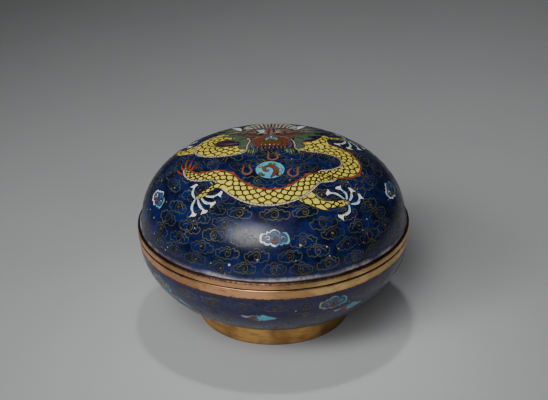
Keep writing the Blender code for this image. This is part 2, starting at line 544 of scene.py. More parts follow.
NECK = Strip([
    (-14.0, 12.0, 6.5), (-20.5, 16.0, 9.2), (-27.4, 16.4, 9.8), (-32.5, 13.4, 10.2), (-34.8, 8.0, 10.0),
    (-33.5, 2.8, 9.8), (-29.2, -1.1, 9.5), (-23.0, -2.8, 9.5), (-17.2, -2.9, 8.4), (-13.2, -2.3, 6.4),
])
SHOULDER = Strip([
    (11.6, -2.2, 5.6), (16.2, -0.5, 9.6), (22.4, 0.4, 11.4), (28.4, -0.1, 10.9), (33.2, -1.4, 10.6),
    (37.2, -4.2, 10.3), (39.7, -8.6, 10.0), (40.0, -13.2, 9.4), (38.4, -17.6, 8.3), (34.9, -21.1, 7.0),
    (31.0, -23.3, 5.6), (27.6, -24.3, 4.0), (24.6, -24.4, 2.4), (22.3, -24.3, 0.9),
])
FLANK = Strip([
    (32.2, -27.2, 0.7), (29.3, -28.0, 2.2), (26.0, -28.3, 4.4), (22.8, -28.9, 5.7), (19.6, -30.9, 6.8),
    (16.1, -35.1, 7.8), (11.8, -39.8, 8.2), (6.2, -43.0, 8.4), (-0.8, -44.4, 8.8), (-7.8, -43.4, 9.2),
    (-14.2, -40.0, 9.2), (-19.6, -34.6, 8.8), (-23.4, -28.7, 8.3), (-27.8, -24.5, 6.9), (-32.8, -23.0, 5.7),
    (-37.5, -21.6, 4.8), (-41.1, -18.8, 3.9), (-43.4, -14.8, 2.9), (-44.6, -10.6, 1.4), (-44.8, -8.8, 0.6),
])
FACE_MIDDLE = -0.5
FIN_WIDTH = 1.0
SPIKE_HEIGHT = 1.4
BELLY_WIDTH = 1.0
SCALE_ACROSS = 3.7
SCALE_ALONG = 0.80
SCALE_REACH = 0.78
PLATE_LENGTH = 1.5


def fin_rise(spikes, total):
    """Height of the back fin: it tapers to both ends, with a spike at each given distance."""
    def rise(length):
        taper = min(1.0, length / 4 + 0.25, (total - length) / 4 + 0.25)
        spike = max([1 - abs(length - s) / 1.5 for s in spikes] + [0.0])
        return FIN_WIDTH * taper + SPIKE_HEIGHT * spike
    return rise


def belly_rise(total):
    """Width of the belly line, which is notched like a row of plates."""
    def rise(length):
        taper = min(1.0, length / 3 + 0.2, (total - length) / 3 + 0.2)
        notch = abs((length / PLATE_LENGTH) % 1 - 0.5)
        return (BELLY_WIDTH + 0.55 * notch) * taper
    return rise


def scale_rows(drawing, strip, level, start, end, spread=1.0):
    """Rows of overlapping scales: each is an arc that bulges towards the tail."""
    row = 0
    length = start
    while length < end:
        width = strip.width(length)
        size = min(SCALE_ACROSS, 1.2 + 0.29 * width) * spread
        shift = 0.5 * (row % 2)
        for k in range(-3, 4):
            middle = (k + shift) * size
            arc = []
            for j in range(9):
                turn = math.pi * (j / 8 - 0.5)
                offset = middle + size / 2 * math.sin(turn)
                along = length + SCALE_REACH * size * math.cos(turn)
                if abs(offset) < strip.width(along) / 2 - 0.05 and along < strip.lengths[-1]:
                    arc.append(strip.at(along, offset))
            if len(arc) > 2:
                drawing.wire(arc, level, "scale")
        length += SCALE_ALONG * size
        row += 1


def body_part(drawing, strip, back, level, spikes, fin=True, belly=True, fin_colour="red"):
    """A stretch of the body with its fin on one side (back is 1 for the left) and its belly."""
    total = strip.lengths[-1]
    drawing.band("yellow", strip.band(), level)
    if fin:
        drawing.band(fin_colour, [strip.edge(back), strip.edge(back, fin_rise(spikes, total))], level - 1)
    if belly:
        rise = belly_rise(total)
        drawing.band("cream", [strip.edge(-back), strip.edge(-back, rise)], level - 1)
        for i in range(2, round(total / PLATE_LENGTH) - 2):
            along = i * PLATE_LENGTH
            half = strip.width(along) / 2
            ends = [strip.at(along, -back * (half + out)) for out in (0.1, rise(along))]
            drawing.wire(ends, level - 1)
    scale_rows(drawing, strip, level, 1.5, total - 1.5)


CLAW_TIP = [
    (3.4, 0.42), (2.2, 0.50), (1.6, 0.95), (1.3, 1.7), (0.6, 2.5), (0.35, 1.5), (-0.35, 0.85), (-0.9, 0.1),
    (-1.0, -0.7), (-0.3, -1.5), (0.4, -0.95), (1.4, -0.6), (2.2, -0.45), (3.4, -0.42),
]


def claw(drawing, root, middle, end, side, level):
    """A turquoise and white toe with a white knuckle and a talon on one side (1 is its left)."""
    toe = Strip([(*root, 0.9), (*middle, 1.5), (*end, 1.3)], 0.7)
    drawing.band("turquoise_pale", toe.band(), level)
    inner_line = [toe.beside(i, side * 0.25) for i in range(len(toe.stations))]
    drawing.band("white", [toe.edge(side), inner_line], level + 1, False)
    tip = [toe.at(toe.lengths[-1] - back, out * side * 1.15) for back, out in CLAW_TIP]
    drawing.area("white", tip, level + 2)


def draw_body(drawing):
    """The neck's loop round its dark hollow, the body, the fins and the hair of the tail."""
    drawing.disc("plum", (-25.2, 6.6), 5.6, 1, 0.8, wire=False)
    hollow = [(-26.5, 7.2, 0.5), (-23.0, 5.6, 1.9), (-19.6, 4.9, 1.4), (-16.6, 4.6, 0.3)]
    drawing.stroke("maroon", hollow, 2, wire=False)
    body_part(drawing, NECK, 1, 4, [], fin_colour="maroon")
    body_part(drawing, SHOULDER, 1, 4, [16.5, 26.0, 40.0, 56.5])
    body_part(drawing, FLANK, -1, 4, [13.0, 26.5, 36.0, 44.0, 55.0, 68.5, 83.5])
    hair = [
        [(-45.2, -15.6, 0.7), (-47.6, -12.4, 1.1), (-49.2, -9.0, 1.0), (-50.0, -5.4, 0.3)],
        [(-45.2, -11.4, 1.3), (-46.7, -8.6, 1.3), (-47.2, -5.0, 0.9), (-46.8, -1.6, 0.3)],
        [(-44.4, -10.2, 1.5), (-44.8, -6.8, 1.4), (-44.3, -3.4, 0.9), (-43.2, -0.4, 0.3)],
        [(-43.2, -11.4, 1.8), (-42.2, -8.2, 1.4), (-41.8, -5.8, 0.8), (-40.6, -3.6, 0.3)],
        [(-41.8, -13.8, 1.8), (-40.4, -10.8, 1.3), (-38.8, -8.9, 0.8), (-37.0, -7.6, 0.3)],
    ]
    for lock in hair:
        drawing.stroke("red", lock, 2)


def draw_legs(drawing):
    """Four legs with their scales, claws and wrists.

    Each leg is (level, outline, how many points at its two ends lie inside the body, line of its
    scales, claws as root, middle, end and the side of the talon).
    """
    legs = [
        (5, [(-21.0, -34.6), (-22.4, -31.0), (-25.0, -29.4), (-27.4, -30.2), (-30.2, -31.4), (-33.4, -32.9),
             (-36.8, -34.6), (-39.4, -36.1), (-39.4, -37.2), (-36.2, -37.7), (-33.6, -36.6), (-31.2, -35.0),
             (-28.0, -34.4), (-25.2, -35.4), (-23.0, -37.4)], (3, 1),
         [(-19.6, -32.4, 7.6), (-24.6, -32.4, 6.0), (-29.0, -32.7, 3.8), (-33.5, -34.5, 3.2),
          (-38.6, -36.6, 1.6)],
         [((-39.8, -36.2), (-40.8, -32.2), (-39.4, -27.4), 1),
          ((-34.0, -37.2), (-30.4, -38.9), (-26.0, -38.2), -1),
          ((-36.2, -37.8), (-34.2, -41.4), (-30.0, -43.6), -1),
          ((-38.2, -37.8), (-37.4, -42.0), (-34.9, -46.9), -1),
          ((-39.6, -37.0), (-41.8, -41.0), (-41.2, -46.2), -1)]),
        (2, [(10.0, -42.0), (17.0, -38.0), (19.6, -40.2), (21.2, -41.2), (22.4, -43.2), (24.6, -44.0),
             (27.4, -43.6), (30.8, -42.7), (34.2, -41.2), (37.4, -40.1), (39.2, -40.8), (38.2, -42.3),
             (35.4, -44.4), (32.0, -46.0), (28.6, -47.8), (26.2, -49.4), (22.0, -48.9), (17.4, -47.6),
             (13.2, -46.0)], (2, 1),
         [(12.5, -42.4, 8.0), (20.0, -44.6, 7.6), (25.8, -46.6, 5.4), (31.0, -44.5, 3.4), (37.5, -41.6, 2.2)],
         [((36.2, -39.8), (31.6, -37.9), (27.2, -38.7), -1),
          ((37.2, -39.4), (36.6, -35.6), (32.4, -33.4), -1),
          ((38.8, -39.6), (39.9, -36.0), (39.4, -31.6), -1),
          ((39.8, -41.2), (43.6, -38.6), (44.6, -33.6), -1),
          ((38.8, -42.2), (38.9, -46.4), (34.4, -50.8), 1)]),
        (5, [(20.6, 4.0), (20.6, 7.0), (22.8, 9.8), (24.4, 12.8), (25.4, 16.2), (26.7, 18.6), (28.4, 17.6),
             (30.4, 17.3), (34.2, 19.8), (38.0, 21.8), (39.8, 21.2), (38.8, 19.3), (35.2, 17.0), (31.8, 15.0),
             (28.8, 13.6), (28.2, 9.2), (28.6, 4.6), (25.0, 1.6)], (1, 2),
         [(24.4, 0.6, 9.5), (24.3, 5.0, 7.4), (25.8, 9.5, 4.2), (27.0, 14.5, 3.0), (31.5, 16.2, 2.0),
          (37.5, 20.0, 1.8)],
         [((38.2, 19.6), (37.2, 13.6), (33.0, 8.6), 1), ((39.6, 19.4), (40.8, 13.2), (39.4, 7.4), 1),
          ((40.2, 20.4), (44.2, 17.2), (45.6, 12.2), 1), ((40.2, 21.6), (45.4, 22.2), (49.2, 19.4), 1),
          ((38.6, 22.0), (37.4, 26.2), (34.0, 29.6), -1)]),
        (2, [(-38.0, 5.0), (-42.6, 5.4), (-46.6, 8.2), (-49.6, 11.4), (-51.3, 15.6), (-52.4, 20.4),
             (-52.4, 25.6), (-51.4, 28.2), (-49.9, 27.8), (-49.7, 22.6), (-48.3, 17.8), (-45.8, 14.9),
             (-42.6, 14.2), (-38.0, 14.0)], (1, 1),
         [(-40.0, 9.4, 7.5), (-45.6, 11.6, 5.4), (-49.8, 16.6, 3.4), (-51.0, 22.4, 2.8), (-50.9, 27.0, 1.8)],
         [((-50.2, 26.6), (-46.0, 23.4), (-43.0, 17.6), -1),
          ((-50.0, 27.8), (-45.6, 27.6), (-40.8, 24.4), -1),
          ((-50.4, 28.6), (-47.4, 32.6), (-42.2, 34.2), -1),
          ((-51.2, 28.8), (-51.8, 34.0), (-49.4, 38.8), -1),
          ((-52.0, 27.8), (-56.4, 30.2), (-59.8, 28.0), 1)]),
    ]
    for level, outline, (before, after), middle, claws in legs:
        drawing.area("yellow", curve_through(outline, 1.0, True), level, wire=False)
        drawing.wire(curve_through(outline[before:len(outline) - after], 0.8), level)
        limb = Strip(middle)
        scale_rows(drawing, limb, level, 1.0, limb.lengths[-1] - 1.5, 1.3)
        for root, knee, end, side in claws:
            claw(drawing, root, knee, end, side, 2)
        wrist = middle[-1]
        drawing.disc("flesh", wrist[:2], 1.1, level + 1)
    drawing.stroke("green_pale", [(-31.2, -27.4, 0.4), (-31.0, -29.0, 1.2), (-30.0, -31.0, 0.6)], 3)
    drawing.stroke("green_pale", [(21.4, -40.4, 0.5), (22.6, -42.6, 1.3), (25.4, -43.4, 0.5)], 3)


PEARL_CENTRE = (-1.3, -24.4)
PEARL_RADIUS = 7.3


def draw_pearl(drawing):
    """The pearl with its swirl and beads, and three flames round it."""
    drawing.disc("turquoise", PEARL_CENTRE, PEARL_RADIUS, 1)
    swirl = [(-4.4, -22.6, 0.6), (-2.6, -21.6, 1.9), (-0.2, -21.8, 2.4), (1.4, -23.6, 2.7),
             (1.7, -26.0, 2.6), (0.7, -28.4, 1.9), (-1.0, -31.0, 0.5)]
    hook = [(-3.2, -21.9, 0.9), (-4.3, -23.6, 1.7), (-3.5, -25.6, 1.6), (-1.8, -25.3, 0.9)]
    drawing.stroke("brick", swirl, 3)
    drawing.stroke("heart", hook, 4)
    beads = [
        (-6.0, -21.9, 1.0, "green_pale"), (-1.4, -19.7, 0.8, "green"), (-0.2, -19.5, 0.8, "green_pale"),
        (1.0, -19.9, 0.6, "green"), (3.9, -25.0, 1.15, "turquoise"), (-6.0, -28.2, 1.1, "green"),
        (-4.7, -28.9, 0.7, "brick"), (3.4, -28.6, 1.0, "green_pale"), (2.3, -29.2, 0.6, "green"),
    ]
    for x, y, radius, colour in beads:
        drawing.disc(colour, (x, y), radius, 5, 1.2)
    flames = [
        [(-15.0, -18.2, 0.3), (-14.4, -20.6, 0.9), (-15.0, -23.4, 1.2), (-14.8, -26.0, 1.3),
         (-12.9, -27.4, 1.3), (-10.9, -26.0, 1.3), (-10.7, -23.6, 1.2), (-11.6, -21.0, 0.9),
         (-11.0, -18.4, 0.3)],
        [(9.9, -20.6, 0.3), (9.3, -23.0, 0.8), (7.8, -25.6, 1.2), (7.7, -28.0, 1.3), (9.7, -29.8, 1.3),
         (12.0, -28.6, 1.3), (12.4, -26.0, 1.2), (12.3, -23.4, 0.9), (13.7, -20.6, 0.3)],
        [(-2.4, -6.0, 0.3), (-1.9, -8.8, 0.9), (-2.3, -11.6, 1.2), (-2.1, -14.2, 1.3), (0.1, -15.8, 1.4),
         (2.3, -14.2, 1.3), (2.4, -11.6, 1.2), (1.5, -8.8, 0.9), (2.3, -6.0, 0.3)],
    ]
    for flame in flames:
        drawing.stroke("flame", flame, 1)


def mirrored(points):
    """The same points on the other side of the middle of the face."""
    return [(2 * FACE_MIDDLE - x, *rest) for x, *rest in points]


def draw_pair(drawing, colour, points, level, closed=False):
    """A stroke, or a closed area, on both sides of the face."""
    for line in (points, mirrored(points)):
        if closed:
            drawing.area(colour, curve_through(line, 0.9, True), level)
        else:
            drawing.stroke(colour, line, level)


CROWN_LOCKS = 11
CROWN_LOCK_SPACING = 1.55


def draw_mane(drawing):
    """A pale crown of locks behind the head, a pointed mane at each side, and two horns."""
    crown = [(-13.0, 17.0), (-15.2, 24.0), (-14.8, 31.0), (-11.0, 36.6), (-5.4, 40.2), (-0.5, 41.4),
             (4.4, 40.2), (10.0, 36.6), (13.8, 31.0), (14.2, 24.0), (12.0, 17.0), (0.0, 12.0)]
    drawing.area("bone", curve_through(crown, 1.2, True), 5)
    middle = CROWN_LOCKS // 2
    for i in range(CROWN_LOCKS):
        x = CROWN_LOCK_SPACING * (i - middle)
        lean = 1 + 0.3 * abs(i - middle) / middle
        tip = (x * lean * 1.2 + FACE_MIDDLE, 38.6 - 0.6 * abs(x), 0.3)
        lock = [(x + FACE_MIDDLE, 22.0, 0.4), (x * lean + FACE_MIDDLE, 29.5, 0.8), tip]
        drawing.stroke("maroon" if i == middle else ("clay", "ash", "olive")[i % 3], lock, 6)
    mane = [(10.4, 1.0), (10.6, -2.4), (12.6, -3.6), (15.6, -2.6), (16.6, 0.6), (15.6, 4.0), (16.8, 7.6),
            (21.2, 10.6), (17.8, 12.4), (21.0, 14.8), (26.0, 17.8), (21.2, 19.0), (24.0, 22.0), (29.2, 26.6),
            (23.4, 26.2), (25.2, 30.0), (28.0, 36.0), (21.6, 33.0), (16.2, 33.2), (13.4, 27.2), (12.2, 19.0),
            (11.2, 10.0)]
    draw_pair(drawing, "green", mane, 5, True)
    locks = [
        ("grey", (11.6, 2.0), (13.8, 0.6), (15.2, -1.6)),
        ("olive", (11.8, 6.0), (13.8, 4.6), (15.2, 2.0)),
        ("brick", (12.2, 10.4), (14.6, 10.0), (16.2, 8.6)),
        ("ash", (12.6, 14.4), (16.0, 15.6), (19.4, 15.4)),
        ("bone", (13.0, 18.2), (17.6, 21.4), (23.0, 22.4)),
        ("bone", (13.4, 21.8), (18.2, 26.0), (24.6, 29.4)),
        ("ash", (14.2, 25.8), (18.4, 30.4), (23.6, 34.6)),
        ("brick", (12.6, 16.2), (17.4, 18.6), (21.4, 19.0)),
        ("grey", (13.2, 20.0), (18.4, 24.0), (24.2, 26.2)),
        ("grey", (13.6, 24.0), (18.2, 28.4), (24.4, 32.2)),
        ("grey", (14.4, 28.0), (17.4, 32.0), (21.4, 35.6)),
    ]
    for colour, start, halfway, end in locks:
        draw_pair(drawing, colour, [(*start, 0.4), (*halfway, 1.1), (*end, 0.3)], 6)
    left_horn = [(-16.4, 23.2, 0.6), (-17.2, 27.0, 2.7), (-18.8, 31.2, 2.9), (-21.8, 35.4, 0.5)]
    right_horn = [(13.0, 24.0, 0.6), (14.1, 28.0, 2.7), (15.6, 32.2, 2.9), (18.4, 36.8, 0.5)]
    for horn in (left_horn, right_horn):
        drawing.stroke("white", horn, 8)


def draw_face(drawing):
    """The mask of the face, its brow, and the wrinkles and tufts at both sides."""
    face = [(-8.6, -0.8), (-9.8, 3.4), (-10.8, 8.0), (-13.2, 12.4), (-14.6, 18.0), (-12.4, 22.6),
            (-8.0, 25.2), (-3.6, 25.6), (-0.5, 28.4), (2.6, 25.6), (7.0, 25.2), (11.4, 22.6), (13.2, 18.0),
            (11.8, 12.4), (9.8, 8.0), (8.6, 3.4), (7.8, -0.8)]
    drawing.area("maroon", curve_through(face, 1.0, True), 7)
    brow = [(-9.0, 18.0), (-10.4, 22.6), (-6.0, 24.8), (-0.5, 27.6), (5.0, 24.8), (9.4, 22.6), (8.0, 18.0),
            (4.0, 17.6), (1.2, 14.4), (-0.5, 13.0), (-2.2, 14.4), (-5.0, 17.6)]
    drawing.area("clay", curve_through(brow, 1.0, True), 8, wire=False)
    for points, colour in [
        ([(1.6, 23.4, 0.4), (4.6, 24.6, 1.0), (8.6, 23.8, 1.0), (12.6, 25.4, 0.4)], "rust"),
        ([(6.2, 18.6, 0.4), (7.6, 20.8, 0.9), (11.2, 22.4, 0.7), (15.2, 24.0, 0.3)], "grey"),
        ([(6.4, 15.8, 0.4), (8.6, 18.0, 1.0), (12.0, 19.8, 0.8), (16.4, 22.2, 0.3)], "ash"),
        ([(6.4, 13.4, 0.4), (8.8, 15.0, 1.2), (12.2, 17.0, 0.8), (16.8, 19.4, 0.3)], "rust"),
        ([(8.4, 10.6, 0.4), (10.4, 12.6, 1.0), (13.2, 14.4, 0.8), (17.6, 16.6, 0.3)], "clay"),
        ([(4.2, 12.2, 0.4), (5.8, 13.2, 0.9), (7.0, 16.0, 0.7), (5.8, 19.4, 0.3)], "brick"),
        ([(0.6, 13.8, 0.4), (1.0, 18.0, 1.0), (0.4, 24.0, 0.3)], "rust"),
        ([(9.4, 8.4, 0.4), (10.8, 10.4, 0.8), (11.6, 11.8, 0.4)], "olive"),
    ]:
        draw_pair(drawing, colour, points, 9)


def draw_muzzle(drawing):
    """The upper jaw with the open mouth, its teeth and the nose."""
    jaw = [(-8.2, 9.2), (-8.9, 4.6), (-7.9, -0.4), (-4.0, -0.9), (0.0, -0.9), (4.0, -0.9), (6.9, -0.4),
           (7.9, 4.6), (7.3, 9.2), (3.8, 10.4), (-0.4, 9.6), (-4.8, 10.4)]
    drawing.area("rust", curve_through(jaw, 0.9, True), 9)
    draw_pair(drawing, "flesh", [(3.0, 10.7, 0.4), (5.2, 10.9, 0.8), (7.4, 9.6, 0.8), (8.4, 7.4, 0.4)], 10)
    mouth = [(-5.9, 5.2), (-6.2, 2.6), (-4.6, 1.2), (-0.6, 1.0), (3.6, 1.2), (5.2, 2.6), (4.8, 5.4),
             (2.4, 6.2), (-0.6, 5.7), (-3.4, 6.2)]
    drawing.area("ochre", curve_through(mouth, 0.8, True), 10)
    for x, radius in [(-5.6, 0.6), (-3.5, 0.6), (-1.3, 0.75), (0.9, 0.6), (3.0, 0.6)]:
        drawing.disc("cream", (x, 1.0), radius, 11, 0.9)
    nose = [(-0.6, 12.9), (0.7, 11.6), (1.4, 10.1), (3.1, 8.9), (3.1, 6.8), (1.7, 5.8), (0.4, 7.3),
            (-0.7, 7.7), (-1.8, 7.3), (-3.2, 5.7), (-4.2, 7.0), (-3.8, 9.1), (-2.4, 10.3), (-1.7, 11.8)]
    drawing.area("steel", curve_through(nose, 0.8, True), 11)
    draw_pair(drawing, "turquoise_pale", [(0.6, 8.2, 0.4), (1.6, 8.9, 1.1), (2.6, 7.6, 0.6)], 12)
    drawing.stroke("turquoise_pale", [(-0.6, 12.2, 0.4), (-0.6, 10.8, 1.3), (-0.6, 9.0, 0.5)], 12)


def draw_eyes(drawing):
    """Dark eyes under pale brows, with a lid above each of them that has its own colour."""
    left_brow = [(-8.2, 15.3, 0.4), (-6.6, 16.7, 1.0), (-4.4, 16.7, 1.0), (-3.0, 15.4, 0.4)]
    right_brow = [(0.2, 15.5, 0.4), (1.7, 16.9, 1.0), (3.9, 16.9, 1.0), (5.5, 15.6, 0.4)]
    for brow in (left_brow, right_brow):
        drawing.stroke("cream", brow, 10)
    for x in (-5.5, 2.8):
        drawing.disc("dark", (x, 14.7), 1.25, 9, 0.95)
    left_lid = [(-8.5, 22.7), (-6.2, 22.2), (-4.1, 22.8), (-3.7, 19.6), (-4.2, 17.5), (-6.3, 17.4),
                (-7.7, 19.4)]
    right_lid = [(0.6, 21.4), (2.4, 22.6), (4.8, 21.8), (4.9, 18.8), (3.0, 17.7), (1.0, 18.4)]
    drawing.area("turquoise_pale", curve_through(left_lid, 0.8, True), 9)
    drawing.area("ash", curve_through(right_lid, 0.8, True), 9)
    drawing.stroke("cream", [(1.5, 18.6, 0.4), (1.7, 20.4, 0.7), (2.4, 21.8, 0.3)], 10)
    drawing.stroke("cream", [(3.8, 18.6, 0.4), (3.7, 20.2, 0.7), (4.2, 21.4, 0.3)], 10)


def draw_beard(drawing):
    """Two whiskers, a bead on the left one, two cheeks, and locks and fronds below the jaw."""
    left_whisker = [(-12.6, 9.4, 0.8), (-11.4, 6.4, 1.0), (-12.4, 2.4, 1.0), (-12.9, -1.4, 1.0),
                    (-13.4, -4.6, 1.0), (-15.6, -7.0, 0.9)]
    right_whisker = [(9.3, 8.2, 0.8), (10.8, 4.6, 1.0), (11.3, 0.6, 1.0), (11.4, -2.6, 1.0),
                     (13.0, -4.8, 1.0), (16.4, -5.6, 0.9)]
    for whisker in (left_whisker, right_whisker):
        drawing.stroke("flesh", whisker, 9)
    drawing.disc("cream", (-12.4, 9.3), 0.9, 10)
    for i in range(8):
        x = -7.2 + 1.9 * i
        lock = [(x, -0.6, 1.1), (x * 1.05, -2.5, 1.0), (x * 1.14, -4.4, 0.3)]
        drawing.stroke("grey" if i % 2 else "clay", lock, 6)
    left_cheek = [(-10.2, 5.4, 0.6), (-10.7, 2.0, 1.6), (-10.2, -1.4, 1.6), (-8.6, -4.2, 0.4)]
    right_cheek = [(9.0, 5.4, 0.6), (9.5, 2.0, 1.6), (8.8, -1.4, 1.7), (7.0, -4.2, 0.5)]
    drawing.stroke("cobalt", left_cheek, 8)
    drawing.stroke("violet", right_cheek, 8)
    root = -3.4
    fronds = [
        (-12.0, -8.6, "green_pale"), (-10.9, -9.8, "olive"), (-9.8, -10.2, "green_pale"),
        (-8.7, -9.4, "green"), (-7.7, -7.8, "teal"), (6.2, -7.2, "teal"), (7.2, -8.8, "green_pale"),
        (8.3, -9.9, "teal"), (9.4, -10.3, "green_pale"), (10.6, -9.2, "olive"), (13.2, -9.4, "green_pale"),
    ]
    for x, tip, colour in fronds:
        frond = [(x * 0.97, root, 0.5), (x, root + (tip - root) * 0.5, 1.0), (x * 1.04, tip, 0.3)]
        drawing.stroke(colour, frond, 5)


def draw_head(drawing):
    """The head faces the front, over the neck. The levels say what lies over what, not the order."""
    draw_mane(drawing)
    draw_face(drawing)
    draw_muzzle(drawing)
    draw_eyes(drawing)
    draw_beard(drawing)


# Coloured clouds, and the ground of small ones between them. A coloured cloud on the lid is
# (distance from the pole, degrees round it), and a figure on the bowl is (kind, degrees round from
# the front, millimetres down, lean).

LID_CLOUD_PLACES = [(66.5, -89.4), (65.4, -12.0), (65.4, 60.0), (65.4, 126.0), (65.4, 198.4)]
BOWL_FIGURES = [
    ("comet", -6.4, 14.2, 0.0), ("cloud", 25.2, 7.4, 0.05), ("comet", 34.3, 15.0, 0.05),
    ("cloud", -56, 8.6, -0.1), ("streak", -44.0, 15.6, -0.05), ("cloud", 70, 9.0, 0.1),
    ("comet", 92, 15.0, -0.2), ("cloud", 118, 9.0, -0.1), ("comet", 142, 15.6, 0.2),
    ("cloud", 168, 9.0, 0.1), ("comet", -166, 16.0, -0.2), ("cloud", -140, 8.8, 0.0),
    ("comet", -116, 15.4, 0.3), ("cloud", -90, 8.8, 0.1),
]
LID_CLOUDS = [(s * math.cos(math.radians(a)), s * math.sin(math.radians(a))) for s, a in LID_CLOUD_PLACES]
BOWL_CLOUDS = [(math.radians(figure[1]) * RIM_RADIUS, -figure[2]) for figure in BOWL_FIGURES]
CLOUD_CLEARANCE = 10.5
CLOUD_PITCH = 16.6
CLOUD_ROW = 6.9
LID_FIRST_ROW = 82.0
LID_LAST_ROW = 6.0
BOWL_CLOUD_PITCH = 15.5
BOWL_FIRST_ROW = 6.6
BOWL_ROWS = 6
BOWL_CLEARANCE = CLOUD_CLEARANCE * 0.8
LID_SEED = 11
BOWL_SEED = 5


def draw_lid_ground(drawing):
    """Rings of small clouds, from the lid's edge to its pole, that leave the coloured ones room."""
    chance = random.Random(LID_SEED)
    row = 0
    distance = LID_FIRST_ROW
    while distance > LID_LAST_ROW:
        count = max(3, round(math.tau * distance / CLOUD_PITCH))
        for i in range(count):
            turn = math.tau * (i + 0.5 * (row % 2)) / count - math.pi / 2
            near = distance + chance.uniform(-0.7, 0.7)
            turn += chance.uniform(-1.2, 1.2) / distance
            place = near * math.cos(turn), near * math.sin(turn)
            if all(math.dist(place, spot) > CLOUD_CLEARANCE for spot in LID_CLOUDS):
                ground_cloud(drawing, *place, turn + math.pi / 2 + chance.uniform(-0.08, 0.08),
                             chance.uniform(0.90, 1.02), chance.choice((-1, 1)), chance)
        distance -= CLOUD_ROW
        row += 1


def draw_bowl_ground(drawing):
    """Rows of smaller clouds, from the band down to the foot."""
    chance = random.Random(BOWL_SEED)
    around = math.tau * RIM_RADIUS
    for row in range(BOWL_ROWS):
        down = BOWL_FIRST_ROW + CLOUD_ROW * row
        radius = bowl_side.at(down)[0]
        count = round(math.tau * radius / BOWL_CLOUD_PITCH)
        for i in range(count):
            x = around * (i + 0.5 * (row % 2)) / count - around / 2 + chance.uniform(-0.6, 0.6)
            y = -down + chance.uniform(-0.4, 0.4)
            if all(math.dist((x, y), spot) > BOWL_CLEARANCE for spot in BOWL_CLOUDS):
                ground_cloud(drawing, x, y, chance.uniform(-0.08, 0.08), chance.uniform(0.76, 0.88),
                             chance.choice((-1, 1)), chance)


lid_drawing = Drawing("lid", on_dome)
draw_body(lid_drawing)
draw_legs(lid_drawing)
draw_pearl(lid_drawing)
draw_head(lid_drawing)
for (_, degrees), place in zip(LID_CLOUD_PLACES, LID_CLOUDS):
    coloured_cloud(lid_drawing, *place, math.radians(degrees) + math.pi / 2)
draw_lid_ground(lid_drawing)

bowl_drawing = Drawing("bowl", on_bowl)
for (kind, _, _, lean), place in zip(BOWL_FIGURES, BOWL_CLOUDS):
    if kind == "cloud":
        coloured_cloud(bowl_drawing, *place, lean, "ash", "lilac", "red")
    else:
        make = comet_cloud if kind == "comet" else streak_cloud
        make(bowl_drawing, *place, lean)
draw_bowl_ground(bowl_drawing)


# Materials

class Number:
    """One number of a finish, as a socket that ordinary arithmetic works on."""

    def __init__(self, finish, socket):
        self.finish = finish
        self.socket = socket

    def with_math(self, operation, first, second):
        made = self.finish.node("ShaderNodeMath", {"operation": operation}, {0: first, 1: second})
        return Number(self.finish, made.outputs[0])

    def __add__(self, other):
        return self.with_math("ADD", self, other)

    def __sub__(self, other):
        return self.with_math("SUBTRACT", self, other)

    def __rsub__(self, other):
        return self.with_math("SUBTRACT", other, self)

    def __mul__(self, other):
        return self.with_math("MULTIPLY", self, other)

    __radd__ = __add__
    __rmul__ = __mul__

    def ramp(self, low, high, start=0.0, end=1.0):
        """Start up to low, end from high, and a smooth change between them."""
        made = self.finish.node(
            "ShaderNodeMapRange", {"interpolation_type": "SMOOTHSTEP"},
            {"Value": self, "From Min": low, "From Max": high, "To Min": start, "To Max": end},
        )
        return Number(self.finish, made.outputs["Result"])


